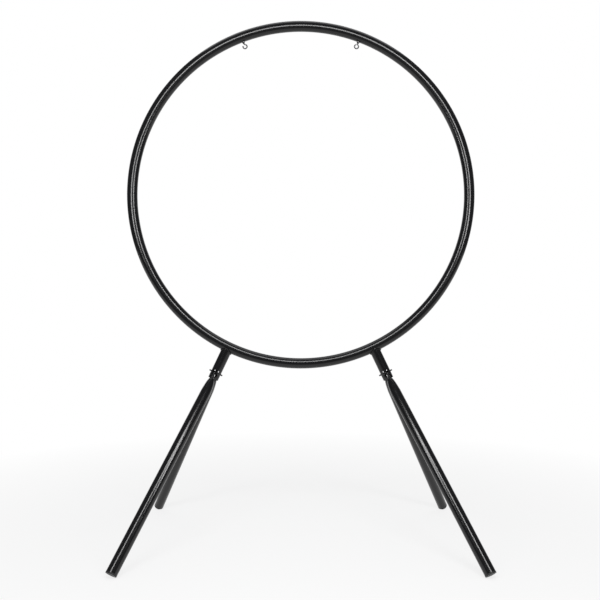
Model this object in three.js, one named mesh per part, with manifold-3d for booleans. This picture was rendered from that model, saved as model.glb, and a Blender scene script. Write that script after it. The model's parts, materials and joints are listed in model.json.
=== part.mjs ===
// Gong stand: a round hoop of bent steel tube, carried by four hinged tube legs.
// The hoop stands in the XZ plane, +Z is up, the front looks along -Y and the floor is at zero.
// Lengths are in millimetres and angles in radians.

import * as THREE from 'three';
import { mergeVertices } from 'three/addons/utils/BufferGeometryUtils.js';
import Module from 'manifold-3d';

const wasm = await Module();
wasm.setup();

const degree = Math.PI / 180;

// Clearances
const gap = 0.3; // between two pieces that touch
const overrun = 5; // how far a cutting shape runs past what it cuts

// Tube of the hoop, the stubs and the legs
const tubeRadius = 16.85;
const tubeWall = 2;

// Hoop
const hoopRadius = 545.6; // to the middle of its tube

// Stubs under the hoop, which end in a fork
const stubAngle = 25.5 * degree; // from straight down
const pivotReach = 92.5; // hoop's centreline to the pivot
const forkReach = 21; // pivot to the stub's lower end
const noseRoom = 0.6; // between the legs' round tops and the slot's upper end
const nutRoom = 0.4; // between a clamp nut and the fork's prong

// Weld bead between hoop and stub
const beadRadius = 2.4;
const beadProud = 0.4; // bead's centre outside the stub's surface
const beadDrop = 1; // bead's centre outside the hoop's surface

// Legs, pressed flat at the top
const legLength = 681; // pivot to the middle of the foot
const legSpread = 31 * degree; // from the stub's axis, to the front and to the rear
const tongueWidth = 18;
const tongueThickness = 4;
const rootSlope = 3; // length over which the flat top thickens past its nut and its washer
const tongueReach = 26.2; // pivot to the shoulder where the tube opens out
const flareLength = 50; // shoulder to the full round tube

// Pivot stud, and the two nuts in the fork that clamp the legs' tops on it
const studRadius = 2.5;
const studProud = 6; // beyond the stub at each side
const studChamfer = 0.5;
const nutFlats = 8;
const nutHeight = 2.7;
const nutChamfer = 0.4;
const washerRadius = 8;
const washerThickness = 1;

// Foot plugs
const plugFlange = 5;
const plugDepth = 24; // from the flange into the tube
const plugWall = 2.4;
const plugEdge = 0.5; // chamfer round the foot
const ribCount = 2;
const ribHeight = 0.9;
const ribThickness = 2;
const footWear = 1.2; // depth of the flat worn on each foot by the floor

// Hooks for the gong's cords
const hookAngle = 20.6 * degree; // from straight up
const hookDrop = 15.9; // tube's surface to the middle of the loop
const wireRadius = 2;
const loopRadius = 6.5; // to the middle of the wire
const neckRadius = 4;
const leftLoopSweep = 288 * degree;
const rightLoopSweep = 318 * degree;
const insertRadius = 3.6;
const insertLength = 10;
const insertLip = 5;
const insertLipThickness = 0.9;
const hookNutFlats = 7.4;
const hookNutHeight = 3.2;
const shankProud = 1.5; // beyond the insert, inside the tube

// Fineness of round shapes
const hoopSteps = 96;
const tubeSides = 16;
const boreSides = 10;
const legSides = 16;
const smallSides = 16;
const holeSides = 12;
const wireSides = 8;
const wireSteps = 32;
const beadSides = 6;
const beadSteps = 24;

// Flare of a leg: how far along it each ring lies, and how fast it opens
const flareShares = [0, 0.004, 0.02, 0.06, 0.12, 0.22, 0.36, 0.54, 0.76, 1];
const thicknessShare = 0.2;
const widthShare = 0.5;

// Sizes that follow from those above
const boreRadius = tubeRadius - tubeWall;
const hoopSag = hoopRadius * (1 - Math.cos(Math.PI / hoopSteps)); // how far its flats lie inside the circle
const pivotRadius = hoopRadius + pivotReach;
const tongueInner = washerThickness / 2 + gap;
const tongueOuter = tongueInner + tongueThickness;
const slotWidth = 2 * (tongueOuter + gap + nutHeight + nutRoom);
const slotRise = tongueWidth / 2 + noseRoom;
const nutCorner = nutFlats / 2 / Math.cos(Math.PI / 6);
const rootInner = gap / 2; // thickened part, which fills its half of the slot
const rootOuter = slotWidth / 2 - gap;
const innerStart = washerRadius + 2 * gap; // pivot to where each face starts to swell
const outerStart = nutCorner + 2 * gap;
const legDrop = Math.cos(legSpread) * Math.cos(stubAngle); // share of a leg's length that is height
const footDrop = tubeRadius * Math.sqrt(1 - legDrop * legDrop) - footWear;
const hoopHeight = pivotRadius * Math.cos(stubAngle) + legLength * legDrop + footDrop;
const legEnd = legLength - plugFlange - gap;
const lipPlace = hookDrop - hoopSag - gap;

// Materials
const blackPaint = { color: 0x17171a, roughness: 0.3, metalness: 0 };
const darkSteel = { color: 0x55565a, roughness: 0.4, metalness: 0.9 };
const zincSteel = { color: 0x8a8b8e, roughness: 0.45, metalness: 0.9 };
const blackPlastic = { color: 0x1d1d1f, roughness: 0.6, metalness: 0 };

// A closed solid of a geometry, with its faces turned outwards
function solid(geometry) {
  geometry.deleteAttribute('normal');
  geometry.deleteAttribute('uv');
  const merged = mergeVertices(geometry);
  const places = new Float32Array(merged.attributes.position.array);
  const triangles = new Uint32Array(merged.index.array);
  return new wasm.Manifold(new wasm.Mesh({ numProp: 3, vertProperties: places, triVerts: triangles }));
}

// The geometry of a solid
function shapeOf(body) {
  const result = body.getMesh();
  const geometry = new THREE.BufferGeometry();
  geometry.setAttribute('position', new THREE.BufferAttribute(result.vertProperties, 3));
  geometry.setIndex(new THREE.BufferAttribute(result.triVerts, 1));
  const flat = geometry.toNonIndexed();
  flat.computeVertexNormals();
  return flat;
}

function piece(name, body, look) {
  const mesh = new THREE.Mesh(shapeOf(body), new THREE.MeshStandardMaterial(look));
  mesh.name = name;
  return mesh;
}

// A round rod along an axis, from one place on it to another
function rodX(radius, from, to, sides = smallSides) {
  const rod = new THREE.CylinderGeometry(radius, radius, Math.abs(to - from), sides);
  rod.rotateZ(Math.PI / 2);
  rod.translate((from + to) / 2, 0, 0);
  return solid(rod);
}

function rodZ(radius, from, to, sides = smallSides) {
  const rod = new THREE.CylinderGeometry(radius, radius, Math.abs(to - from), sides);
  rod.rotateX(Math.PI / 2);
  rod.translate(0, 0, (from + to) / 2);
  return solid(rod);
}

// A ring in the XZ plane
function ring(radius, thickness, sides) {
  const torus = new THREE.TorusGeometry(radius, thickness, sides, hoopSteps);
  torus.rotateX(Math.PI / 2);
  return torus;
}

// A round rod along X with both its ends chamfered
function chamferedX(radius, chamfer, low, high) {
  const profile = [
    new THREE.Vector2(0, low),
    new THREE.Vector2(radius - chamfer, low),
    new THREE.Vector2(radius, low + chamfer),
    new THREE.Vector2(radius, high - chamfer),
    new THREE.Vector2(radius - chamfer, high),
    new THREE.Vector2(0, high),
  ];
  const round = new THREE.LatheGeometry(profile, smallSides);
  round.rotateZ(-Math.PI / 2);
  return solid(round);
}

// Moves a geometry from the frame of one object into the frame of another
function intoFrame(geometry, from, to) {
  from.updateWorldMatrix(true, false);
  to.updateWorldMatrix(true, false);
  geometry.applyMatrix4(from.matrixWorld);
  geometry.applyMatrix4(to.matrixWorld.clone().invert());
  return geometry;
}

// Hoop: a hollow ring with a hole for each hook's insert
function makeHoop() {
  const tube = solid(ring(hoopRadius, tubeRadius, tubeSides));
  let body = tube.subtract(solid(ring(hoopRadius, boreRadius, boreSides)));
  for (const side of [-1, 1]) {
    const hole = new THREE.CylinderGeometry(insertRadius + gap, insertRadius + gap, tubeRadius, holeSides);
    hole.rotateX(Math.PI / 2);
    hole.translate(0, 0, hoopRadius - tubeRadius);
    hole.rotateY(side * hookAngle);
    body = body.subtract(solid(hole));
  }
  return piece('hoop', body, blackPaint);
}

// Stub: a tube along Z with its pivot at zero, coped round the hoop and slotted into a fork
function makeStub(name, frame, hoop) {
  const cope = intoFrame(ring(hoopRadius, tubeRadius + gap, tubeSides), hoop, frame);
  const slot = new THREE.BoxGeometry(slotWidth, 2 * tubeRadius + overrun, slotRise + forkReach + overrun);
  slot.translate(0, 0, (slotRise - forkReach - overrun) / 2);
  const body = rodZ(tubeRadius, -forkReach, pivotReach, legSides)
    .subtract(rodZ(boreRadius, -forkReach - overrun, pivotReach + overrun, legSides))
    .subtract(solid(cope))
    .subtract(solid(slot))
    .subtract(rodX(studRadius + gap, -tubeRadius - overrun, tubeRadius + overrun, holeSides));
  return piece(name, body, blackPaint);
}

// Weld bead: a ring round the stub that follows the hoop's tube, like a saddle
function makeBead(name, frame, hoop) {
  const bead = new THREE.TorusGeometry(tubeRadius + beadProud, beadRadius, beadSides, beadSteps);
  const points = bead.attributes.position;
  for (let i = 0; i < points.count; i++) {
    const across = Math.atan2(points.getY(i), points.getX(i));
    const beside = (tubeRadius + beadProud) * Math.sin(across);
    const drop = Math.sqrt((tubeRadius + beadDrop + beadProud) ** 2 - beside ** 2);
    points.setZ(i, points.getZ(i) + pivotReach - drop);
  }
  const cope = intoFrame(ring(hoopRadius, tubeRadius + gap, tubeSides), hoop, frame);
  const body = solid(bead)
    .subtract(solid(cope))
    .subtract(rodZ(tubeRadius + gap, 0, pivotReach, legSides));
  return piece(name, body, blackPaint);
}

// Where a face of a leg's flat top lies at a place along it
function faceOf(place, start, thin, full) {
  return THREE.MathUtils.lerp(thin, full, THREE.MathUtils.clamp((place - start) / rootSlope, 0, 1));
}

// A leg's outside or bore as rings along -Z, from the flat top to the round tube
function legShape(places, wall, half) {
  const shape = new THREE.CylinderGeometry(1, 1, 1, legSides, places.length - 1);
  const points = shape.attributes.position;
  for (let i = 0; i < points.count; i++) {
    const place = places[Math.round((0.5 - points.getY(i)) * (places.length - 1))];
    const share = THREE.MathUtils.clamp((place - tongueReach) / flareLength, 0, 1);
    const opening = share ** thicknessShare;
    const inner = faceOf(place, innerStart, tongueInner, rootInner);
    const outer = faceOf(place, outerStart, tongueOuter, rootOuter);
    const thick = THREE.MathUtils.lerp((outer - inner) / 2, tubeRadius, opening) - wall;
    const wide = THREE.MathUtils.lerp(tongueWidth / 2, tubeRadius, share ** widthShare) - wall;
    const sideways = -points.getZ(i);
    const x = thick * points.getX(i) + half * (inner + outer) / 2 * (1 - opening);
    const y = thick * sideways + Math.sign(Math.round(sideways * legSides)) * (wide - thick);
    points.setXYZ(i, x, y, -place);
  }
  return solid(shape);
}

// Leg: a tube along -Z from its pivot, with the flat top on one side of the middle and thicker below
function makeLeg(name, half) {
  const flare = flareShares.map((share) => tongueReach + share * flareLength);
  const swell = [outerStart, outerStart + rootSlope, innerStart, innerStart + rootSlope];
  const rings = [...swell, ...flare];
  const boreStart = innerStart + rootSlope + tubeWall;
  const nose = rodX(tongueWidth / 2, half * tongueInner, half * tongueOuter, legSides);
  const boreRings = rings.filter((place) => place > boreStart);
  const body = legShape([0, ...rings, legEnd], 0, half)
    .add(nose)
    .subtract(legShape([boreStart, ...boreRings, legEnd + overrun], tubeWall, half))
    .subtract(rodX(studRadius + gap, -tubeRadius, tubeRadius, holeSides));
  return piece(name, body, blackPaint);
}

// Foot plug: a flange flush with the tube, a ribbed cup inside it, and a flat worn by the floor
function makePlug(name, frame, stand) {
  const cup = boreRadius - gap - ribHeight;
  const top = plugFlange + plugDepth;
  const profile = [
    new THREE.Vector2(0, 0),
    new THREE.Vector2(tubeRadius - plugEdge, 0),
    new THREE.Vector2(tubeRadius, plugEdge),
    new THREE.Vector2(tubeRadius, plugFlange),
    new THREE.Vector2(cup, plugFlange),
  ];
  for (let i = 0; i < ribCount; i++) {
    const place = plugFlange + ((i + 1) * plugDepth) / (ribCount + 1) - ribThickness / 2;
    profile.push(new THREE.Vector2(cup, place));
    profile.push(new THREE.Vector2(cup + ribHeight, place + ribThickness / 2));
    profile.push(new THREE.Vector2(cup, place + ribThickness));
  }
  profile.push(new THREE.Vector2(cup, top));
  profile.push(new THREE.Vector2(cup - plugWall, top));
  profile.push(new THREE.Vector2(cup - plugWall, plugFlange));
  profile.push(new THREE.Vector2(0, plugFlange));
  const plug = new THREE.LatheGeometry(profile, legSides);
  plug.rotateX(Math.PI / 2);
  plug.translate(0, 0, -legLength);
  const floor = new THREE.BoxGeometry(legLength, legLength, tubeRadius);
  floor.translate(frame.userData.footX, frame.userData.footY, -tubeRadius / 2);
  return piece(name, solid(plug).subtract(solid(intoFrame(floor, stand, frame))), blackPlastic);
}

// Threaded stud through the fork and both legs' tops, plain here
function makeStud(name) {
  const end = tubeRadius + studProud;
  return piece(name, chamferedX(studRadius, studChamfer, -end, end), darkSteel);
}

// Clamp nut between a leg's flat top and the fork's prong
function makeNut(name, side) {
  const inside = side * (tongueOuter + gap);
  const outside = inside + side * nutHeight;
  const body = rodX(nutCorner, inside, outside, 6)
    .intersect(chamferedX(nutCorner, nutChamfer, Math.min(inside, outside), Math.max(inside, outside)))
    .subtract(rodX(studRadius + gap, 0, side * tubeRadius, holeSides));
  return piece(name, body, zincSteel);
}

// Washer between the two legs' tops
function makeWasher(name) {
  const half = washerThickness / 2;
  const bore = rodX(studRadius + gap, -tubeRadius, tubeRadius, holeSides);
  return piece(name, rodX(washerRadius, -half, half).subtract(bore), blackPlastic);
}

// Wire of a hook: down its shank, round the neck and clockwise round the loop
class HookCurve extends THREE.Curve {
  constructor(top, sweep) {
    super();
    this.neckHeight = Math.sqrt(loopRadius ** 2 + 2 * loopRadius * neckRadius);
    this.neckTurn = Math.atan2(this.neckHeight, neckRadius);
    this.shank = top - this.neckHeight;
    this.neck = neckRadius * this.neckTurn;
    this.loop = loopRadius * sweep;
  }

  getPoint(t, target = new THREE.Vector3()) {
    const along = t * (this.shank + this.neck + this.loop);
    if (along < this.shank) {
      return target.set(0, 0, this.neckHeight + this.shank - along);
    }
    if (along < this.shank + this.neck) {
      const turn = (along - this.shank) / neckRadius;
      return target.set(neckRadius * (1 - Math.cos(turn)), 0, this.neckHeight - neckRadius * Math.sin(turn));
    }
    const turn = this.neckTurn - (along - this.shank - this.neck) / loopRadius;
    return target.set(loopRadius * Math.cos(turn), 0, loopRadius * Math.sin(turn));
  }
}

// Hook in its own frame, with the loop's middle at zero and its shank along +Z
function makeHook(name, sweep) {
  const top = hookDrop + insertLength + shankProud;
  const outline = new THREE.Shape();
  outline.absarc(0, 0, wireRadius, 0, 2 * Math.PI);
  const settings = {
    steps: wireSteps,
    curveSegments: wireSides / 2,
    bevelEnabled: false,
    extrudePath: new HookCurve(top, sweep),
  };
  return piece(name, solid(new THREE.ExtrudeGeometry(outline, settings)), darkSteel);
}

function makeInsert(name) {
  const body = rodZ(insertRadius, lipPlace - insertLipThickness, hookDrop + insertLength)
    .add(rodZ(insertLip, lipPlace - insertLipThickness, lipPlace))
    .subtract(rodZ(wireRadius + gap, 0, hookDrop + insertLength + overrun, holeSides));
  return piece(name, body, zincSteel);
}

function makeHookNut(name) {
  const top = lipPlace - insertLipThickness - gap;
  const corner = hookNutFlats / 2 / Math.cos(Math.PI / 6);
  const body = rodZ(corner, top - hookNutHeight, top, 6).subtract(rodZ(wireRadius + gap, 0, hookDrop, holeSides));
  return piece(name, body, darkSteel);
}

const group = new THREE.Group();

const hoop = makeHoop();
hoop.position.set(0, 0, hoopHeight);
group.add(hoop);

for (const [word, side, sweep] of [['left', -1, leftLoopSweep], ['right', 1, rightLoopSweep]]) {
  const joint = new THREE.Group();
  joint.position.set(side * pivotRadius * Math.sin(stubAngle), 0, hoopHeight - pivotRadius * Math.cos(stubAngle));
  joint.rotation.y = -side * stubAngle;
  group.add(joint);
  joint.add(makeStub(`${word}_stub`, joint, hoop));
  joint.add(makeBead(`${word}_weld_bead`, joint, hoop));
  joint.add(makeStud(`${word}_pivot_stud`));
  joint.add(makeNut(`${word}_outer_nut`, side));
  joint.add(makeNut(`${word}_inner_nut`, -side));
  joint.add(makeWasher(`${word}_middle_washer`));

  for (const [place, turn] of [['front', -1], ['rear', 1]]) {
    const leg = new THREE.Group();
    leg.rotation.x = turn * legSpread;
    leg.userData.footX = side * (pivotRadius + legLength * Math.cos(legSpread)) * Math.sin(stubAngle);
    leg.userData.footY = turn * legLength * Math.sin(legSpread);
    joint.add(leg);
    leg.add(makeLeg(`${word}_${place}_leg`, -turn * side));
    leg.add(makePlug(`${word}_${place}_foot_plug`, leg, group));
  }

  const spoke = new THREE.Group();
  spoke.rotation.y = side * hookAngle;
  hoop.add(spoke);
  const loop = new THREE.Group();
  loop.position.set(0, 0, hoopRadius - tubeRadius - hookDrop);
  spoke.add(loop);
  loop.add(makeHook(`${word}_hook`, sweep));
  loop.add(makeInsert(`${word}_hook_insert`));
  loop.add(makeHookNut(`${word}_hook_nut`));
}

export default group;
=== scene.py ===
"""Looks of a round gong stand: a black tube hoop on four hinged legs.

The file is laid out as an add-on and is run as a script. Lengths are in metres, +Z is up and the
front looks along -Y. A side's own frame has its pivot at zero, X along the stud, Y to the rear and
Z up the stub towards the middle of the hoop. A leg's own frame is the same, turned by its spread.
"""

import json
import math

import bmesh
import bpy
from mathutils import Matrix, Vector


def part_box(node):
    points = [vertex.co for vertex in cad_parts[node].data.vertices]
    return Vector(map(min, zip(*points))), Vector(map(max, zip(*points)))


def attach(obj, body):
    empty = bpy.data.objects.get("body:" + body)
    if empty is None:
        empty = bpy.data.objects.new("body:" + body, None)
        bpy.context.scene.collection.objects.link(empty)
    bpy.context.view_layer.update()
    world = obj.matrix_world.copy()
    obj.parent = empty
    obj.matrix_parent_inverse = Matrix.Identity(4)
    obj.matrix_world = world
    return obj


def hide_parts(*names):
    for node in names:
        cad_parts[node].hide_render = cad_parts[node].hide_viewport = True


bl_info = {
    "name": "Gong Stand",
    "version": (1, 0, 0),
    "blender": (4, 5, 0),
    "location": "View3D > Sidebar > Gong Stand",
    "description": "Round gong stand of black tube with hooks and hinged legs",
    "category": "Object",
}

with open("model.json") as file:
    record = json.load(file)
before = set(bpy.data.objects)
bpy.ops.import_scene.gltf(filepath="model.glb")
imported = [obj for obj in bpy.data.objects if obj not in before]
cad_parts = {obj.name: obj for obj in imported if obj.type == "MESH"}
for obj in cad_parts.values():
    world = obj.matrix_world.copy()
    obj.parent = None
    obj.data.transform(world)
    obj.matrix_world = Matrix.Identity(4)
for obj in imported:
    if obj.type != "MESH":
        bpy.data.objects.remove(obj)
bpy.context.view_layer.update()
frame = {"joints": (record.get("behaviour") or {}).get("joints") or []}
HOOP_LOW, HOOP_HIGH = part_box("hoop")
JOINTS = {joint["name"]: joint for joint in frame["joints"]}

RING_BODY = "ring_frame"
SIDES = (("left", -1), ("right", 1))
ENDS = (("front", -1), ("rear", 1))
ALONG_X = Matrix.Rotation(math.pi / 2, 4, "Y")
THREAD_RINGS = 4  # rings of points in each turn of a thread
SHARP_ANGLE = 35  # degrees between two faces from which their edge stays sharp
BEAD_SHARP_ANGLE = 60


def length(name, description, default):
    """A size in metres for the panel."""
    return bpy.props.FloatProperty(
        name=name, description=description, default=default, min=0,
        subtype="DISTANCE", unit="LENGTH", precision=5,
    )


def angle(name, description, degrees):
    """An angle for the panel."""
    return bpy.props.FloatProperty(
        name=name, description=description, default=math.radians(degrees), subtype="ANGLE", unit="ROTATION"
    )


def colour(name, description, default):
    """A linear colour for the panel."""
    return bpy.props.FloatVectorProperty(
        name=name, description=description, default=default, min=0, max=1, size=3, subtype="COLOR"
    )


class TubeSizes(bpy.types.PropertyGroup):
    """Sizes of the hoop, the stubs and the legs"""

    tube_radius: length("Tube radius", "Outer radius of every tube", (HOOP_HIGH.y - HOOP_LOW.y) / 2)
    tube_wall: length("Tube wall", "Wall of every tube", 0.0020)
    gap: length("Gap", "Clearance between two pieces that touch", 0.0003)
    fork_reach: length("Fork reach", "Pivot to the lower end of the stub", 0.0210)
    slot_width: length("Slot width", "Width of the slot across the stub", 0.0164)
    slot_rise: length("Slot rise", "Pivot to the upper end of the slot", 0.0096)
    bead_radius: length("Bead radius", "Radius of the weld bead", 0.0024)
    bead_proud: length("Bead proud", "Middle of the bead outside the stub", 0.0004)
    bead_drop: length("Bead drop", "Middle of the bead outside the hoop", 0.0014)
    leg_length: length("Leg length", "Pivot to the middle of the foot", 0.681)
    leg_spread: angle("Leg spread", "Each leg from the axis of the stub", 31)
    tongue_width: length("Tongue width", "Width of a leg's flat top", 0.0180)
    tongue_thickness: length("Tongue thickness", "Thickness of a leg's flat top", 0.0040)
    tongue_inner: length("Tongue place", "Middle of the fork to a leg's flat top", 0.0008)
    inner_start: length("Inner start", "Pivot to where the leg's inner face swells", 0.0086)
    outer_start: length("Outer start", "Pivot to where the leg's outer face swells", 0.0052)
    root_slope: length("Root slope", "Length over which a face swells", 0.0030)
    tongue_reach: length("Tongue reach", "Pivot to the shoulder of the leg", 0.0262)
    tongue_seam: length("Tongue seam", "Depth of the seam between the pressed walls", 0.0005)
    flare_length: length("Flare length", "Shoulder to the full round tube", 0.050)


class PivotSizes(bpy.types.PropertyGroup):
    """Sizes of the pivot studs and of what clamps the legs on them"""

    stud_radius: length("Stud radius", "Radius of the threaded stud", 0.0025)
    stud_proud: length("Stud proud", "Stud beyond the stub at each side", 0.0060)
    stud_chamfer: length("Stud chamfer", "Chamfer at the stud's ends", 0.0005)
    thread_pitch: length("Thread pitch", "Pitch of the stud", 0.0008)
    thread_depth: length("Thread depth", "Depth of the stud's thread", 0.0004)
    nut_flats: length("Nut flats", "Across the flats of a clamp nut", 0.0080)
    nut_height: length("Nut height", "Height of a clamp nut", 0.0027)
    nut_chamfer: length("Nut chamfer", "Chamfer on the nut's corners", 0.0006)
    washer_radius: length("Washer radius", "Washer between the two legs", 0.0080)
    washer_thickness: length("Washer thickness", "Washer between the two legs", 0.0010)
    edge: length("Edge", "Chamfer on the washer's rims", 0.0002)


class PlugSizes(bpy.types.PropertyGroup):
    """Sizes of the foot plugs"""

    flange: length("Flange", "Thickness of the flange under the tube", 0.005)
    depth: length("Depth", "Cup of the plug inside the tube", 0.024)
    wall: length("Wall", "Wall of the plug's cup", 0.0024)
    round_edge: length("Round edge", "Rounding of the foot's rim", 0.0007)
    rib: length("Rib", "Height of a sealing rib", 0.0009)
    dish: length("Dish", "Hollow of the plug's end face", 0.0005)


class HookSizes(bpy.types.PropertyGroup):
    """Sizes of the wire hooks and their seats"""

    hook_angle: angle("Hook angle", "Each hook from straight up", 20.6)
    drop: length("Drop", "Tube surface to the middle of the loop", 0.0159)
    wire: length("Wire", "Radius of the hook wire", 0.002)
    loop: length("Loop", "Radius of the loop to the middle of the wire", 0.0065)
    neck: length("Neck", "Radius of the bend above the loop", 0.004)
    left_sweep: angle("Left sweep", "How far the left loop goes round", 288)
    right_sweep: angle("Right sweep", "How far the right loop goes round", 318)
    pitch: length("Pitch", "Pitch of the thread on the shank", 0.0007)
    insert_radius: length("Insert radius", "Body of the threaded insert", 0.0036)
    insert_length: length("Insert length", "Insert inside the tube", 0.010)
    lip_radius: length("Lip radius", "Lip of the insert on the tube", 0.005)
    lip: length("Lip", "Thickness of the insert's lip", 0.0009)
    nut_flats: length("Nut flats", "Across the flats of the jam nut", 0.0074)
    nut_height: length("Nut height", "Height of the jam nut", 0.0032)
    shank_proud: length("Shank proud", "Shank beyond the insert", 0.0015)


class Finishes(bpy.types.PropertyGroup):
    """Colours of the finishes"""

    paint: colour("Powder coat", "Gloss black of all tubes", (0.0045, 0.0045, 0.0050))
    scuffed: colour("Scuffed coat", "Where the coat is rubbed", (0.020, 0.020, 0.021))
    zinc: colour("Zinc", "Clamp nuts and inserts", (0.26, 0.26, 0.265))
    dark_steel: colour("Dark steel", "Blackened steel of the hooks and studs", (0.085, 0.085, 0.09))
    plastic: colour("Plastic", "Foot plugs", (0.012, 0.012, 0.013))
    nylon: colour("Nylon", "Washers between the legs", (0.016, 0.016, 0.017))
    floor: colour("Floor", "Paper of the floor and the backdrop", (0.86, 0.86, 0.86))


class StageSizes(bpy.types.PropertyGroup):
    """Camera"""

    camera_distance: length("Camera distance", "Camera to the plane of the hoop", 2.403)
    camera_height: length("Camera height", "Camera above the floor", 0.7605)
    camera_side: bpy.props.FloatProperty(
        name="Camera side", description="Camera to the right of the middle", default=-0.0025, unit="LENGTH"
    )
    lens: bpy.props.FloatProperty(name="Lens", description="Focal length in millimetres", default=44.52)
    frame_shift: bpy.props.FloatProperty(
        name="Frame shift", description="Upward shift as a share of the frame", default=0.0058
    )


GROUPS = {
    "gong_tubes": TubeSizes,
    "gong_pivots": PivotSizes,
    "gong_plugs": PlugSizes,
    "gong_hooks": HookSizes,
    "gong_finishes": Finishes,
    "gong_stage": StageSizes,
}


def hoop_centre():
    """Middle of the hoop."""
    return (HOOP_LOW + HOOP_HIGH) / 2


def hoop_radius(tubes):
    """Radius of the hoop to the middle of its tube."""
    return (HOOP_HIGH.x - HOOP_LOW.x) / 2 - tubes.tube_radius


def side_frame(word):
    """Frame of a side: its pivot, and the stud along X."""
    hinge = JOINTS[f"{word}_rear_leg_hinge"]
    pivot = Vector(hinge["pos_m"])
    stud = Vector(hinge["axis"]).normalized()
    up = (hoop_centre() - pivot).normalized()
    rear = up.cross(stud)
    turn = Matrix((stud, rear, up)).transposed().to_4x4()
    return Matrix.Translation(pivot) @ turn


def leg_frame(word, turn, tubes):
    """Frame of a leg, which runs along -Z from its pivot."""
    return side_frame(word) @ Matrix.Rotation(turn * tubes.leg_spread, 4, "X")


def hook_frame(side, tubes, hooks):
    """Frame of a hook: the middle of its loop, with the shank along +Z."""
    reach = hoop_radius(tubes) - tubes.tube_radius - hooks.drop
    spoke = Matrix.Rotation(side * hooks.hook_angle, 4, "Y")
    return Matrix.Translation(hoop_centre()) @ spoke @ Matrix.Translation((0, 0, reach))


def loft(steps, section, count, closed=False):
    """A skin through rings of points: section(turn, step) is the ring's point at a turn."""
    bm = bmesh.new()
    turns = bm.verts.layers.float.new("turn")
    bmesh.ops.create_circle(bm, segments=count, radius=1)
    for vert in bm.verts:
        vert[turns] = math.atan2(vert.co.y, vert.co.x)
        vert.co = section(vert[turns], steps[0])
    first = bm.edges[:]
    edges = first
    for step in steps[1:]:
        made = bmesh.ops.extrude_edge_only(bm, edges=edges)["geom"]
        ring = {part for part in made if isinstance(part, bmesh.types.BMVert)}
        edges = [part for part in made if isinstance(part, bmesh.types.BMEdge) and set(part.verts) <= ring]
        for vert in ring:
            vert.co = section(vert[turns], step)
    if closed:
        bmesh.ops.bridge_loops(bm, edges=first + edges)
    else:
        bmesh.ops.edgeloop_fill(bm, edges=first)
        bmesh.ops.edgeloop_fill(bm, edges=edges)
    bmesh.ops.recalc_face_normals(bm, faces=bm.faces)
    return bm


def spin_round(bm, axis, steps):
    """Spins the outline in a bmesh a full turn round an axis through zero."""
    geometry = bm.verts[:] + bm.edges[:]
    bmesh.ops.spin(
        bm, geom=geometry, cent=(0, 0, 0), axis=axis, angle=2 * math.pi, steps=steps, use_merge=True
    )


def turned(profile, segments=48):
    """A shape turned about Z from (radius, height) points, closed on itself or from axis to axis."""
    bm = bmesh.new()
    verts = [bm.verts.new((radius, 0, height)) for radius, height in profile]
    pairs = list(zip(verts, verts[1:]))
    if profile[0][0] > 0:
        pairs.append((verts[-1], verts[0]))
    for pair in pairs:
        bm.edges.new(pair)
    spin_round(bm, (0, 0, 1), segments)
    bmesh.ops.remove_doubles(bm, verts=bm.verts, dist=1e-6)
    bmesh.ops.recalc_face_normals(bm, faces=bm.faces)
    return bm


def rod(radius, low, high, segments=32):
    """A plain rod along Z, for cutting."""
    bm = bmesh.new()
    bmesh.ops.create_cone(
        bm, cap_ends=True, segments=segments, radius1=radius, radius2=radius, depth=high - low,
        matrix=Matrix.Translation((0, 0, (low + high) / 2)),
    )
    return bm


def thread(radius, depth, pitch, along, turn):
    """Radius of a screw thread at a place along its rod and a turn round it."""
    phase = (along / pitch - turn / (2 * math.pi)) % 1
    return radius - depth * abs(2 * phase - 1)


def moved(bm, matrix):
    """The same bmesh at another place."""
    bm.transform(matrix)
    return bm


def carve(blank, tool, operation="DIFFERENCE"):
    """One bmesh cut by another, as a new bmesh."""
    objects = []
    for bm in (blank, tool):
        mesh = bpy.data.meshes.new("carving")
        bm.to_mesh(mesh)
        bm.free()
        objects.append(bpy.data.objects.new("carving", mesh))
        bpy.context.scene.collection.objects.link(objects[-1])
    boolean = objects[0].modifiers.new("carve", "BOOLEAN")
    boolean.operation = operation
    boolean.solver = "EXACT"
    boolean.object = objects[1]
    result = bmesh.new()
    result.from_object(objects[0], bpy.context.evaluated_depsgraph_get())
    for obj in objects:
        mesh = obj.data
        bpy.data.objects.remove(obj)
        bpy.data.meshes.remove(mesh)
    return result


def hexagon(flats, chamfer, low, high, segments=48):
    """A hexagon along Z with its corners chamfered at both ends."""
    corner = flats / 2 / math.cos(math.pi / 6)
    rise = chamfer * 0.6  # a nut's chamfer is lower than it is deep
    profile = [(0, low), (corner - chamfer, low), (corner, low + rise)]
    profile += [(corner, high - rise), (corner - chamfer, high), (0, high)]
    return carve(rod(corner, low, high, segments=6), turned(profile, segments), "INTERSECT")


def add_piece(name, bm, place, finish, body, slot, node, sharp=SHARP_ANGLE):
    """Makes a bmesh a piece of the stand: in place, finished and riding on its body."""
    bm.transform(place)
    mesh = bpy.data.meshes.new(name)
    bm.to_mesh(mesh)
    bm.free()
    mesh.shade_smooth()
    mesh.set_sharp_from_angle(angle=math.radians(sharp))
    mesh.materials.append(finish)
    piece = bpy.data.objects.new(name, mesh)
    bpy.context.scene.collection.objects.link(piece)
    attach(piece, body)
    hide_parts(node)
    return piece


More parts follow.
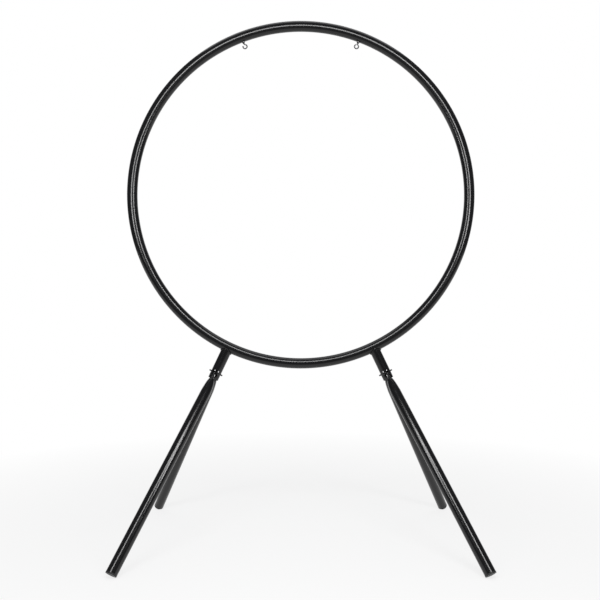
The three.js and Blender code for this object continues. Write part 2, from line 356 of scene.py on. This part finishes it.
class Nodes:
    """Short ways to lay out the nodes of a finish."""

    def __init__(self, name, roughness, metallic=0.0):
        self.material = bpy.data.materials.new(name)
        self.material.use_nodes = True
        self.tree = self.material.node_tree
        self.shader = self.tree.nodes["Principled BSDF"]
        self.shader.inputs["Roughness"].default_value = roughness
        self.shader.inputs["Metallic"].default_value = metallic
        self.place = self.tree.nodes.new("ShaderNodeTexCoord").outputs["Object"]

    def link(self, source, target):
        """Feeds a node's output into another's input."""
        self.tree.links.new(source, target)

    def noise(self, scale, detail=2.0, roughness=0.5, stretch=None):
        """Noise with so many cells a metre."""
        node = self.tree.nodes.new("ShaderNodeTexNoise")
        node.inputs["Scale"].default_value = scale
        node.inputs["Detail"].default_value = detail
        node.inputs["Roughness"].default_value = roughness
        source = self.place
        if stretch:
            mapping = self.tree.nodes.new("ShaderNodeMapping")
            mapping.inputs["Scale"].default_value = stretch
            self.link(source, mapping.inputs["Vector"])
            source = mapping.outputs["Vector"]
        self.link(source, node.inputs["Vector"])
        return node.outputs["Fac"]

    def spread(self, source, low, high, to_low=0.0, to_high=1.0):
        """A value moved from one range to another."""
        node = self.tree.nodes.new("ShaderNodeMapRange")
        for name, value in (("From Min", low), ("From Max", high), ("To Min", to_low), ("To Max", to_high)):
            node.inputs[name].default_value = value
        self.link(source, node.inputs["Value"])
        return node.outputs["Result"]

    def blend(self, share, first, second):
        """A colour between two colours."""
        node = self.tree.nodes.new("ShaderNodeMix")
        node.data_type = "RGBA"
        # The node has sockets of the same name for each kind of data; these are the ones for colours
        node.inputs[6].default_value = (*first, 1)
        node.inputs[7].default_value = (*second, 1)
        self.link(share, node.inputs[0])
        return node.outputs[2]

    def combine(self, operation, first, second):
        """Two values brought together by one of the Math node's operations."""
        node = self.tree.nodes.new("ShaderNodeMath")
        node.operation = operation
        self.link(first, node.inputs[0])
        self.link(second, node.inputs[1])
        return node.outputs[0]

    def bump(self, height, depth, strength):
        """Relief of a depth in metres."""
        node = self.tree.nodes.new("ShaderNodeBump")
        node.inputs["Distance"].default_value = depth
        node.inputs["Strength"].default_value = strength
        self.link(height, node.inputs["Height"])
        return node.outputs["Normal"]


def lighter(shade, times):
    """A colour made so many times lighter."""
    return [min(1, times * part) for part in shade]


def powder_coat(finishes):
    """Gloss black powder coat: clean highlights, a faint peel, with dust and rubbed places."""
    nodes = Nodes("gloss_black_powder_coat", 0.175)
    shader = nodes.shader.inputs
    rubbed = nodes.spread(nodes.noise(38, detail=6, roughness=0.7), 0.60, 0.74)
    specks = nodes.spread(nodes.noise(1700, detail=1), 0.80, 0.84)
    marks = nodes.combine("MAXIMUM", nodes.spread(rubbed, 0, 1, 0, 0.35), specks)
    nodes.link(nodes.blend(marks, finishes.paint, finishes.scuffed), shader["Base Color"])
    nodes.link(nodes.spread(nodes.noise(55, detail=4), 0.3, 0.7, 0.15, 0.20), shader["Roughness"])
    nodes.link(nodes.bump(nodes.noise(620, detail=2), 0.00002, 0.12), shader["Normal"])
    shader["Specular IOR Level"].default_value = 0.45
    return nodes.material


def zinc_plate(finishes):
    """Dull zinc on turned and pressed steel."""
    nodes = Nodes("dull_zinc_plate", 0.36, metallic=1.0)
    shader = nodes.shader.inputs
    cloud = nodes.spread(nodes.noise(500, detail=4), 0.35, 0.7)
    bright = lighter(finishes.zinc, 1.7)
    nodes.link(nodes.blend(cloud, finishes.zinc, bright), shader["Base Color"])
    nodes.link(nodes.spread(nodes.noise(900), 0.3, 0.7, 0.28, 0.48), shader["Roughness"])
    nodes.link(nodes.bump(nodes.noise(2600, stretch=(1, 6, 6)), 0.00003, 0.4), shader["Normal"])
    return nodes.material


def blackened_steel(finishes):
    """Blackened steel of drawn wire and threaded rod, worn bare in places."""
    nodes = Nodes("blackened_steel", 0.34, metallic=1.0)
    shader = nodes.shader.inputs
    worn = nodes.spread(nodes.noise(420, detail=5, roughness=0.65), 0.5, 0.72)
    bare = lighter(finishes.dark_steel, 2.6)
    nodes.link(nodes.blend(worn, finishes.dark_steel, bare), shader["Base Color"])
    nodes.link(nodes.spread(nodes.noise(700), 0.3, 0.7, 0.26, 0.46), shader["Roughness"])
    nodes.link(nodes.bump(nodes.noise(1500, detail=3), 0.00003, 0.35), shader["Normal"])
    return nodes.material


def moulded_plastic(finishes):
    """Matt black moulded plastic with a fine spark-eroded grain."""
    nodes = Nodes("black_moulded_plastic", 0.5)
    shader = nodes.shader.inputs
    dusty = nodes.spread(nodes.noise(160, detail=5, roughness=0.7), 0.5, 0.75, 0, 0.6)
    pale = lighter(finishes.plastic, 3)
    nodes.link(nodes.blend(dusty, finishes.plastic, pale), shader["Base Color"])
    nodes.link(nodes.spread(nodes.noise(300), 0.3, 0.7, 0.42, 0.6), shader["Roughness"])
    nodes.link(nodes.bump(nodes.noise(2400, detail=2), 0.00005, 0.5), shader["Normal"])
    return nodes.material


def black_nylon(finishes):
    """Turned black nylon, a little waxy."""
    nodes = Nodes("black_nylon", 0.42)
    shader = nodes.shader.inputs
    cloud = nodes.spread(nodes.noise(350, detail=3), 0.35, 0.7)
    pale = lighter(finishes.nylon, 1.8)
    nodes.link(nodes.blend(cloud, finishes.nylon, pale), shader["Base Color"])
    nodes.link(nodes.bump(nodes.noise(3200, stretch=(5, 1, 1)), 0.00003, 0.4), shader["Normal"])
    shader["Specular IOR Level"].default_value = 0.42
    return nodes.material


def finish(name, make):
    """The finish of that name, made once."""
    return bpy.data.materials.get(name) or make(bpy.context.scene.gong_finishes)


class GONG_OT_hoop(bpy.types.Operator):
    """Make the hoop of bent tube"""

    bl_idname = "gong.hoop"
    bl_label = "Hoop"

    def execute(self, context):
        tubes = context.scene.gong_tubes
        hooks = context.scene.gong_hooks
        coat = finish("gloss_black_powder_coat", powder_coat)
        radius = hoop_radius(tubes)
        body = self.ring(radius, tubes.tube_radius, sides=48, steps=288)
        bore = self.ring(radius, tubes.tube_radius - tubes.tube_wall, sides=24, steps=144)
        body = carve(body, bore)
        for _, side in SIDES:
            hole = rod(hooks.insert_radius + tubes.gap, radius - 2 * tubes.tube_radius, radius)
            body = carve(body, moved(hole, Matrix.Rotation(side * hooks.hook_angle, 4, "Y")))
        add_piece("hoop_tube", body, Matrix.Translation(hoop_centre()), coat, RING_BODY, "frame", "hoop")
        return {"FINISHED"}

    def ring(self, radius, thickness, sides, steps):
        """A ring in the XZ plane about zero."""
        bm = bmesh.new()
        place = Matrix.Translation((radius, 0, 0))
        bmesh.ops.create_circle(bm, segments=sides, radius=thickness, matrix=place)
        spin_round(bm, (0, 1, 0), steps)
        bmesh.ops.recalc_face_normals(bm, faces=bm.faces)
        return bm


class GONG_OT_stubs(bpy.types.Operator):
    """Make the stubs under the hoop, with their forks and weld beads"""

    bl_idname = "gong.stubs"
    bl_label = "Stubs and welds"

    def execute(self, context):
        tubes = context.scene.gong_tubes
        coat = finish("gloss_black_powder_coat", powder_coat)
        for word, _ in SIDES:
            place = side_frame(word)
            stub = self.stub(tubes)
            add_piece(f"{word}_fork_tube", stub, place, coat, RING_BODY, "frame", f"{word}_stub")
            bead, node = self.bead(tubes), f"{word}_weld_bead"
            add_piece(f"{word}_weld", bead, place, coat, RING_BODY, "frame", node, BEAD_SHARP_ANGLE)
        return {"FINISHED"}

    def seat(self, x, y, away, tubes):
        """Height at which a point above (x, y) lies at a distance from the middle of the hoop's tube."""
        radius = hoop_radius(tubes)
        centre = (hoop_centre() - side_frame("left").translation).length
        ring = radius + math.sqrt(max(away * away - y * y, 0))
        return centre - math.sqrt(ring * ring - x * x)

    def stub(self, tubes):
        """A tube coped round the hoop and slotted into a fork."""
        outer = tubes.tube_radius
        inner = outer - tubes.tube_wall
        away = outer + tubes.gap
        clear = 0.004  # by which a ring and the cutter pass the slot's ends

        def section(turn, step):
            radius, height = step
            x, y = radius * math.cos(turn), radius * math.sin(turn)
            return Vector((x, y, self.seat(x, y, away, tubes) if height is None else height))

        rise = tubes.slot_rise + clear
        steps = [(outer, -tubes.fork_reach), (outer, 0), (outer, rise), (outer, None)]
        steps += [(inner, None), (inner, rise), (inner, 0), (inner, -tubes.fork_reach)]
        body = loft(steps, section, count=64, closed=True)
        slot = bmesh.new()
        tall = tubes.slot_rise + tubes.fork_reach + clear
        middle = Matrix.Translation((0, 0, tubes.slot_rise - tall / 2))
        scale = Matrix.Diagonal((tubes.slot_width, 3 * outer, tall, 1))
        bmesh.ops.create_cube(slot, size=1, matrix=middle @ scale)
        body = carve(body, slot)
        hole = rod(bpy.context.scene.gong_pivots.stud_radius + tubes.gap, -2 * outer, 2 * outer)
        return carve(body, moved(hole, ALONG_X))

    def bead(self, tubes):
        """A rippled weld bead that follows the saddle between stub and hoop."""
        ripples, around, steps = 40, 14, 320
        ripple_depth, ripple_lag = 0.08, 0.9
        middle = tubes.tube_radius + tubes.bead_proud
        away = tubes.tube_radius + tubes.bead_drop
        bm = bmesh.new()
        lie = Matrix.Translation((middle, 0, 0)) @ Matrix.Rotation(math.pi / 2, 4, "X")
        bmesh.ops.create_circle(bm, segments=around, radius=tubes.bead_radius, matrix=lie)
        spin_round(bm, (0, 0, 1), steps)
        for vert in bm.verts:
            turn = math.atan2(vert.co.y, vert.co.x)
            out = math.hypot(vert.co.x, vert.co.y) - middle
            lag = ripple_lag * vert.co.z / tubes.bead_radius
            swell = 1 - ripple_depth * abs(math.sin(ripples * turn / 2 + lag))
            reach = middle + out * swell
            x, y = reach * math.cos(turn), reach * math.sin(turn)
            on_path = self.seat(middle * math.cos(turn), middle * math.sin(turn), away, tubes)
            vert.co = (x, y, on_path + vert.co.z * swell)
        bmesh.ops.recalc_face_normals(bm, faces=bm.faces)
        return bm


class GONG_OT_legs(bpy.types.Operator):
    """Make the four legs with their pressed tops"""

    bl_idname = "gong.legs"
    bl_label = "Legs"

    def execute(self, context):
        tubes = context.scene.gong_tubes
        coat = finish("gloss_black_powder_coat", powder_coat)
        for word, side in SIDES:
            for end, turn in ENDS:
                name = f"{word}_{end}_leg"
                body = self.leg(-turn * side, tubes)
                place = leg_frame(word, turn, tubes)
                add_piece(f"{name}_tube", body, place, coat, f"{name}_body", "frame", name)
        return {"FINISHED"}

    def leg(self, half, tubes):
        """A tube along -Z whose top is pressed flat on one side of the fork's middle."""
        nose = tubes.tongue_width / 2
        end = tubes.leg_length - bpy.context.scene.gong_plugs.flange - tubes.gap
        nose_turns = (0.14, 0.3, 0.5, 0.75, 1.05, 1.3)
        root_shares = (0, 0.15, 0.5, 0.85, 1)
        waist_share = 0.6
        flare_shares = (0, 0.001, 0.004, 0.01, 0.02, 0.035, 0.06, 0.1, 0.16, 0.24, 0.34, 0.46, 0.6, 0.78, 1)
        barrel_shares = (0.25, 0.5, 0.75, 1)
        root = [tubes.outer_start + share * tubes.root_slope for share in root_shares]
        root += [tubes.inner_start + share * tubes.root_slope for share in root_shares]
        flat = [-nose * math.cos(turn) for turn in nose_turns] + [0, *root]
        flat.append(tubes.tongue_reach * waist_share)
        flare = [tubes.tongue_reach + share * tubes.flare_length for share in flare_shares]
        barrel = [flare[-1] + share * (end - flare[-1]) for share in barrel_shares]
        outside = [(place, 0) for place in flat + flare + barrel]
        bore = [root[-1] + tubes.tube_wall, *flare, end]
        inside = [(place, tubes.tube_wall) for place in reversed(bore)]

        def section(turn, step):
            return self.section(turn, step[0], step[1], half, tubes)

        body = loft(outside + inside, section, count=48)
        reach = tubes.tube_radius
        hole = rod(bpy.context.scene.gong_pivots.stud_radius + tubes.gap, -reach, reach)
        return carve(body, moved(hole, ALONG_X))

    def face(self, place, start, thin, full, tubes):
        """Where a face of the flat top lies at a place along the leg."""
        swell = min(max((place - start) / tubes.root_slope, 0), 1)
        return thin + swell * swell * (3 - 2 * swell) * (full - thin)

    def section(self, turn, place, wall, half, tubes):
        """A point of the leg's outline at a place along it: flat at the top and round below."""
        nose = tubes.tongue_width / 2
        share = min(max((place - tubes.tongue_reach) / tubes.flare_length, 0), 1)
        soft, steep = 0.002, 0.2  # how the flare starts and how fast it opens
        round_from, square = 0.55, 0.3  # opening at which it is round, and its power when flat
        seam_turn = 0.01  # cosine below which a point lies on the seam
        opening = ((share + soft) ** steep - soft**steep) / ((1 + soft) ** steep - soft**steep)
        round_part = min(1, opening / round_from)
        power = square + (1 - square) * round_part
        half_flat = nose if place > 0 else math.sqrt(max(nose * nose - place * place, 0))
        thin = tubes.tongue_inner + tubes.tongue_thickness
        inner = self.face(place, tubes.inner_start, tubes.tongue_inner, tubes.gap / 2, tubes)
        outer = self.face(place, tubes.outer_start, thin, tubes.slot_width / 2 - tubes.gap, tubes)
        flat = (outer - inner) / 2
        thick = flat + opening * (tubes.tube_radius - flat) - wall
        wide = half_flat + math.sqrt(share) * (tubes.tube_radius - nose) - wall
        c, s = math.cos(turn), math.sin(turn)
        x = math.copysign(abs(c) ** power, c) * thick + half * (inner + flat) * (1 - opening)
        seam = tubes.tongue_seam * (1 - round_part) if abs(c) < seam_turn and place > 0 else 0
        y = math.copysign(abs(s) ** power, s) * (wide - seam)
        return Vector((x, y, -place))


class GONG_OT_plugs(bpy.types.Operator):
    """Make the plugs in the ends of the legs"""

    bl_idname = "gong.plugs"
    bl_label = "Foot plugs"

    def execute(self, context):
        tubes = context.scene.gong_tubes
        plastic = finish("black_moulded_plastic", moulded_plastic)
        for word, _ in SIDES:
            for end, turn in ENDS:
                leg = f"{word}_{end}"
                plug = moved(self.plug(tubes, context.scene.gong_plugs), leg_frame(word, turn, tubes))
                self.wear(plug)
                body, node = f"{leg}_leg_body", f"{leg}_foot_plug"
                place = Matrix.Identity(4)
                add_piece(f"{leg}_plug", plug, place, plastic, body, "plug_plastic", node)
        return {"FINISHED"}

    def plug(self, tubes, plugs):
        """A flange with a rounded rim and a dished face, and a ribbed cup behind it."""
        foot = -tubes.leg_length
        outer = tubes.tube_radius
        cup = outer - tubes.tube_wall - tubes.gap - plugs.rib
        edge = plugs.round_edge
        gate, gate_rim, gate_depth = 0.0012, 0.0014, 0.0004  # moulding mark in the dish
        dish_share, rim_share = 0.72, 0.80  # of the tube's radius
        bends, ribs = 4, 2
        dish = foot + plugs.dish
        profile = [(0, dish + gate_depth), (gate, dish + gate_depth), (gate_rim, dish)]
        profile += [(outer * dish_share, dish), (outer * rim_share, foot)]
        for step in range(bends + 1):
            turn = step * math.pi / 2 / bends
            profile.append((outer - edge + edge * math.sin(turn), foot + edge - edge * math.cos(turn)))
        top = foot + plugs.flange
        profile += [(outer, top), (cup, top)]
        for step in range(1, ribs + 1):
            place = top + step * plugs.depth / (ribs + 1)
            profile += [(cup, place - plugs.rib), (cup + plugs.rib, place), (cup, place + plugs.rib)]
        end = top + plugs.depth
        profile += [(cup, end), (cup - plugs.wall, end), (cup - plugs.wall, top), (0, top)]
        return turned(profile, segments=64)

    def wear(self, body):
        """Cuts off what the floor has worn away, and closes the flat."""
        geometry = body.verts[:] + body.edges[:] + body.faces[:]
        bmesh.ops.bisect_plane(
            body, geom=geometry, dist=1e-7, plane_co=(0, 0, 0), plane_no=(0, 0, -1), clear_outer=True
        )
        rim = [edge for edge in body.edges if edge.is_boundary]
        bmesh.ops.holes_fill(body, edges=rim)


class GONG_OT_pivots(bpy.types.Operator):
    """Make the threaded studs of the pivots, with their clamp nuts and washers"""

    bl_idname = "gong.pivots"
    bl_label = "Pivots"

    def execute(self, context):
        tubes, sizes = context.scene.gong_tubes, context.scene.gong_pivots
        steel = finish("blackened_steel", blackened_steel)
        zinc = finish("dull_zinc_plate", zinc_plate)
        nylon = finish("black_nylon", black_nylon)
        for word, side in SIDES:
            place = side_frame(word) @ Matrix.Rotation(side * math.pi / 2, 4, "Y")
            inner = place @ Matrix.Rotation(math.pi, 4, "X")
            pieces = (
                ("threaded_stud", self.stud(tubes, sizes), place, steel, "dark_steel", "pivot_stud"),
                ("outer_clamp_nut", self.nut(tubes, sizes), place, zinc, "zinc_steel", "outer_nut"),
                ("inner_clamp_nut", self.nut(tubes, sizes), inner, zinc, "zinc_steel", "inner_nut"),
                ("leg_washer", self.washer(tubes, sizes), place, nylon, "washer_plastic", "middle_washer"),
            )
            for name, bm, where, look, slot, node in pieces:
                add_piece(f"{word}_{name}", bm, where, look, RING_BODY, slot, f"{word}_{node}")
        return {"FINISHED"}

    def stud(self, tubes, sizes):
        """A rod along Z, threaded all along and chamfered at both ends."""
        end = tubes.tube_radius + sizes.stud_proud
        count = round(2 * end * THREAD_RINGS / sizes.thread_pitch)
        tip = sizes.stud_radius - sizes.stud_chamfer

        def section(turn, along):
            ridge = thread(sizes.stud_radius, sizes.thread_depth, sizes.thread_pitch, along, turn)
            radius = min(ridge, tip + end - abs(along))
            return Vector((radius * math.cos(turn), radius * math.sin(turn), along))

        return loft([-end + 2 * end * i / count for i in range(count + 1)], section, count=24)

    def nut(self, tubes, sizes):
        """A thin hexagon nut whose bore is countersunk at both ends."""
        low = tubes.tongue_inner + tubes.tongue_thickness + tubes.gap
        high = low + sizes.nut_height
        bore = sizes.stud_radius + tubes.gap
        wide = bore + sizes.nut_chamfer
        clear = sizes.nut_height
        blank = hexagon(sizes.nut_flats, sizes.nut_chamfer, low, high)
        tool = [(0, low - clear), (wide + clear, low - clear), (bore, low + sizes.nut_chamfer)]
        tool += [(bore, high - sizes.nut_chamfer), (wide + clear, high + clear), (0, high + clear)]
        return carve(blank, turned(tool))

    def washer(self, tubes, sizes):
        """A flat ring with its corners broken."""
        bore, edge = sizes.stud_radius + tubes.gap, sizes.edge
        rim, half = sizes.washer_radius, sizes.washer_thickness / 2
        profile = [(bore, edge - half), (bore + edge, -half), (rim - edge, -half), (rim, edge - half)]
        profile += [(rim, half - edge), (rim - edge, half), (bore + edge, half), (bore, half - edge)]
        return turned(profile)


class GONG_OT_hooks(bpy.types.Operator):
    """Make the wire hooks with their jam nuts and inserts"""

    bl_idname = "gong.hooks"
    bl_label = "Hooks"

    def execute(self, context):
        tubes, hooks = context.scene.gong_tubes, context.scene.gong_hooks
        steel = finish("blackened_steel", blackened_steel)
        zinc = finish("dull_zinc_plate", zinc_plate)
        for word, side in SIDES:
            place = hook_frame(side, tubes, hooks)
            sweep = hooks.left_sweep if side < 0 else hooks.right_sweep
            pieces = (
                ("eye_hook", self.hook(hooks, sweep), steel, "dark_steel", "hook"),
                ("jam_nut", self.nut(hooks, tubes.gap), steel, "dark_steel", "hook_nut"),
                ("rivet_insert", self.insert(hooks, tubes.gap), zinc, "zinc_steel", "hook_insert"),
            )
            for name, bm, look, slot, node in pieces:
                add_piece(f"{word}_{name}", bm, place, look, RING_BODY, slot, f"{word}_{node}")
        return {"FINISHED"}

    def hook(self, hooks, sweep):
        """Wire down a threaded shank, round the neck and clockwise round the loop."""
        neck_height = math.sqrt(hooks.loop**2 + 2 * hooks.loop * hooks.neck)
        neck_turn = math.atan2(neck_height, hooks.neck)
        top = hooks.drop + hooks.insert_length + hooks.shank_proud
        shank = top - neck_height
        neck = hooks.neck * neck_turn
        total = shank + neck + hooks.loop * sweep
        plain = 0.0012  # end of the shank that has no thread
        threaded = shank - plain
        thread_share, tip_share = 0.18, 0.6  # of the wire's radius
        ball, ball_rings, ball_end = hooks.wire, 5, 5.4  # round end, closed a little before its tip
        bends = 72

        def path(along):
            """Place of the wire's middle and its direction."""
            if along < shank:
                return Vector((0, 0, top - along)), Vector((0, 0, -1))
            if along < shank + neck:
                turn = (along - shank) / hooks.neck
                out = hooks.neck * (1 - math.cos(turn))
                place = Vector((out, 0, neck_height - hooks.neck * math.sin(turn)))
            else:
                turn = neck_turn - (along - shank - neck) / hooks.loop
                place = Vector((hooks.loop * math.cos(turn), 0, hooks.loop * math.sin(turn)))
            return place, Vector((math.sin(turn), 0, -math.cos(turn)))

        def section(turn, step):
            along, radius = step
            if along < threaded:
                ridge = thread(hooks.wire, hooks.wire * thread_share, hooks.pitch, along, turn)
                radius = min(radius, ridge)
            place, ahead = path(along)
            across = Vector((0, 1, 0)).cross(ahead)
            return place + radius * (across * math.cos(turn) + Vector((0, 1, 0)) * math.sin(turn))

        steps = [(0, hooks.wire * tip_share)]
        rings = int(THREAD_RINGS * threaded / hooks.pitch)
        steps += [(i * hooks.pitch / THREAD_RINGS, hooks.wire) for i in range(1, rings)]
        for i in range(bends + 1):
            steps.append((threaded + (total - ball - threaded) * i / bends, hooks.wire))
        for i in range(1, ball_rings + 1):
            turn = i * math.pi / 2 / ball_end
            steps.append((total - ball + ball * math.sin(turn), hooks.wire * math.cos(turn)))
        return loft(steps, section, count=20)

    def nut(self, hooks, gap):
        """Jam nut under the insert's lip."""
        chamfer_share = 0.07
        top = hooks.drop - gap - hooks.lip - gap
        chamfer = hooks.nut_flats * chamfer_share
        body = hexagon(hooks.nut_flats, chamfer, top - hooks.nut_height, top)
        return carve(body, rod(hooks.wire + gap, 0, hooks.drop * 2))

    def insert(self, hooks, gap):
        """Threaded insert with its lip on the tube."""
        lip = hooks.drop - gap
        bore = hooks.wire + gap
        low = lip - hooks.lip
        end = hooks.drop + hooks.insert_length
        edge = 0.0003
        profile = [(bore, low), (hooks.lip_radius - edge, low), (hooks.lip_radius, low + edge)]
        profile += [(hooks.lip_radius, lip), (hooks.insert_radius, lip)]
        profile += [(hooks.insert_radius, end), (bore, end)]
        return turned(profile)


class GONG_OT_stage(bpy.types.Operator):
    """Make the floor, the backdrop, the lights and the camera"""

    bl_idname = "gong.stage"
    bl_label = "Stage"

    def execute(self, context):
        scene = context.scene
        scene.view_settings.view_transform = "Standard"
        self.paper(scene.gong_finishes)
        self.world(scene)
        self.lights()
        self.camera(scene)
        return {"FINISHED"}

    def paper(self, finishes):
        """One sheet of pale paper: a floor that curves up into a backdrop."""
        front, back, half, tall, bend = -4.5, 5.0, 5.0, 4.5, 1.2
        bends = 16
        bm = bmesh.new()
        verts = [bm.verts.new((-half, front, 0)), bm.verts.new((-half, back - bend, 0))]
        for step in range(1, bends + 1):
            turn = step * math.pi / 2 / bends
            rear, height = back - bend + bend * math.sin(turn), bend - bend * math.cos(turn)
            verts.append(bm.verts.new((-half, rear, height)))
        verts.append(bm.verts.new((-half, back, tall)))
        edges = [bm.edges.new(pair) for pair in zip(verts, verts[1:])]
        made = bmesh.ops.extrude_edge_only(bm, edges=edges)["geom"]
        far = [part for part in made if isinstance(part, bmesh.types.BMVert)]
        bmesh.ops.translate(bm, vec=(2 * half, 0, 0), verts=far)
        bmesh.ops.recalc_face_normals(bm, faces=bm.faces)
        mesh = bpy.data.meshes.new("paper_sweep")
        bm.to_mesh(mesh)
        bm.free()
        mesh.shade_smooth()
        sweep = bpy.data.objects.new("paper_sweep", mesh)
        bpy.context.scene.collection.objects.link(sweep)
        mesh.materials.append(self.paper_finish(finishes))

    def paper_finish(self, finishes):
        """Pale paper with a soft shadow: white to the eye, and in reflections but for its front."""
        near, far, near_share = 0.7, 2.0, 0.80  # reach of the shadow, and the white it leaves
        dim_from, dim_to, dim_share = -0.5, -1.5, 0.15  # front that reflections show dim
        nodes = Nodes("pale_paper", 0.9)
        tree = nodes.tree
        nodes.shader.inputs["Base Color"].default_value = (*finishes.floor, 1)
        nodes.shader.inputs["Specular IOR Level"].default_value = 0.1
        paths = tree.nodes.new("ShaderNodeLightPath")
        seen = nodes.combine("MAXIMUM", paths.outputs["Is Camera Ray"], paths.outputs["Is Glossy Ray"])
        seen = nodes.combine("MAXIMUM", seen, paths.outputs["Is Transmission Ray"])
        reach = tree.nodes.new("ShaderNodeVectorMath")
        reach.operation = "LENGTH"
        nodes.link(nodes.place, reach.inputs[0])
        away = nodes.spread(reach.outputs["Value"], near, far, near_share, 1.0)
        share = nodes.combine("MULTIPLY", seen, away)
        depth = tree.nodes.new("ShaderNodeSeparateXYZ")
        nodes.link(nodes.place, depth.inputs[0])
        # Painted shade: where glossy rays see it, the paper's front glows dimmer, down to dim_share, though
        # the camera sees it white
        dim = nodes.spread(depth.outputs["Y"], dim_to, dim_from, dim_share, 1.0)
        level = nodes.spread(paths.outputs["Is Glossy Ray"], 0, 1, 1.0, 1.0)
        nodes.link(dim, level.node.inputs["To Max"])  # only a reflection takes the dim value
        white = tree.nodes.new("ShaderNodeEmission")
        nodes.link(level, white.inputs["Strength"])
        mix = tree.nodes.new("ShaderNodeMixShader")
        nodes.link(share, mix.inputs[0])
        nodes.link(nodes.shader.outputs[0], mix.inputs[1])
        nodes.link(white.outputs[0], mix.inputs[2])
        nodes.link(mix.outputs[0], tree.nodes["Material Output"].inputs["Surface"])
        return nodes.material

    def world(self, scene):
        """The dim room in front of the paper."""
        scene.world = scene.world or bpy.data.worlds.new("studio")
        scene.world.use_nodes = True
        room = scene.world.node_tree.nodes["Background"]
        room.inputs["Color"].default_value = (0.95, 0.975, 1.0, 1)
        room.inputs["Strength"].default_value = 0.16

    def lights(self):
        """Three slim soft boxes that arch over the view, and a wide one over the floor."""
        # Name, place, what it aims at, width and height, lean in degrees and power in watts
        boxes = (
            ("right_soft_box", (0.69, -1.50, 1.40), (0.0, 0.0, 1.0), (0.22, 0.96), 40, 13),
            ("left_soft_box", (-0.69, -1.50, 1.40), (0.0, 0.0, 1.0), (0.22, 0.96), -40, 11),
            ("front_soft_box", (0.0, -1.45, 1.80), (0.0, 0.0, 1.1), (0.90, 0.32), 0, 12),
            ("top_soft_box", (0.0, 0.6, 3.6), (0.0, 0.0, 0.0), (3.0, 2.4), 0, 26),
        )
        for name, place, target, size, lean, power in boxes:
            light = bpy.data.lights.new(name, "AREA")
            light.shape = "RECTANGLE"
            light.size, light.size_y = size
            light.energy = power
            lamp = bpy.data.objects.new(name, light)
            lamp.location = place
            aim = (Vector(target) - Vector(place)).to_track_quat("-Z", "Y").to_matrix().to_4x4()
            roll = Matrix.Rotation(math.radians(lean), 4, "Z")
            lamp.rotation_euler = (aim @ roll).to_euler()
            lamp.visible_camera = False
            bpy.context.scene.collection.objects.link(lamp)

    def camera(self, scene):
        """The photograph's view: level, square on to the hoop."""
        stage = scene.gong_stage
        lens = bpy.data.cameras.new("photo_camera")
        lens.lens = stage.lens
        lens.sensor_width = 36
        lens.shift_y = stage.frame_shift
        lens.clip_start, lens.clip_end = 0.05, 60
        camera = bpy.data.objects.new("photo_camera", lens)
        camera.location = (stage.camera_side, -stage.camera_distance, stage.camera_height)
        camera.rotation_euler = (math.pi / 2, 0, 0)
        scene.collection.objects.link(camera)
        scene.camera = camera


OPERATORS = (
    GONG_OT_hoop,
    GONG_OT_stubs,
    GONG_OT_legs,
    GONG_OT_plugs,
    GONG_OT_pivots,
    GONG_OT_hooks,
    GONG_OT_stage,
)


class GONG_PT_panel(bpy.types.Panel):
    """Lists the steps that make the stand, and its sizes"""

    bl_idname = "GONG_PT_panel"
    bl_label = "Gong Stand"
    bl_space_type = "VIEW_3D"
    bl_region_type = "UI"
    bl_category = "Gong Stand"

    def draw(self, context):
        for operator in OPERATORS:
            self.layout.operator(operator.bl_idname)
        for group, kind in GROUPS.items():
            box = self.layout.box()
            box.label(text=kind.__doc__)
            for name in kind.__annotations__:
                box.prop(getattr(context.scene, group), name)


def register():
    """Makes the sizes, the steps and the panel known to Blender."""
    for kind in (*GROUPS.values(), *OPERATORS, GONG_PT_panel):
        bpy.utils.register_class(kind)
    for group, kind in GROUPS.items():
        setattr(bpy.types.Scene, group, bpy.props.PointerProperty(type=kind))


def unregister():
    """Takes out what register() put in."""
    for group in GROUPS:
        delattr(bpy.types.Scene, group)
    for kind in reversed((*GROUPS.values(), *OPERATORS, GONG_PT_panel)):
        bpy.utils.unregister_class(kind)


def main():
    """Makes the whole stand and its stage."""
    register()
    bpy.ops.gong.hoop()
    bpy.ops.gong.stubs()
    bpy.ops.gong.legs()
    bpy.ops.gong.plugs()
    bpy.ops.gong.pivots()
    bpy.ops.gong.hooks()
    bpy.ops.gong.stage()


if __name__ == "__main__":
    main()
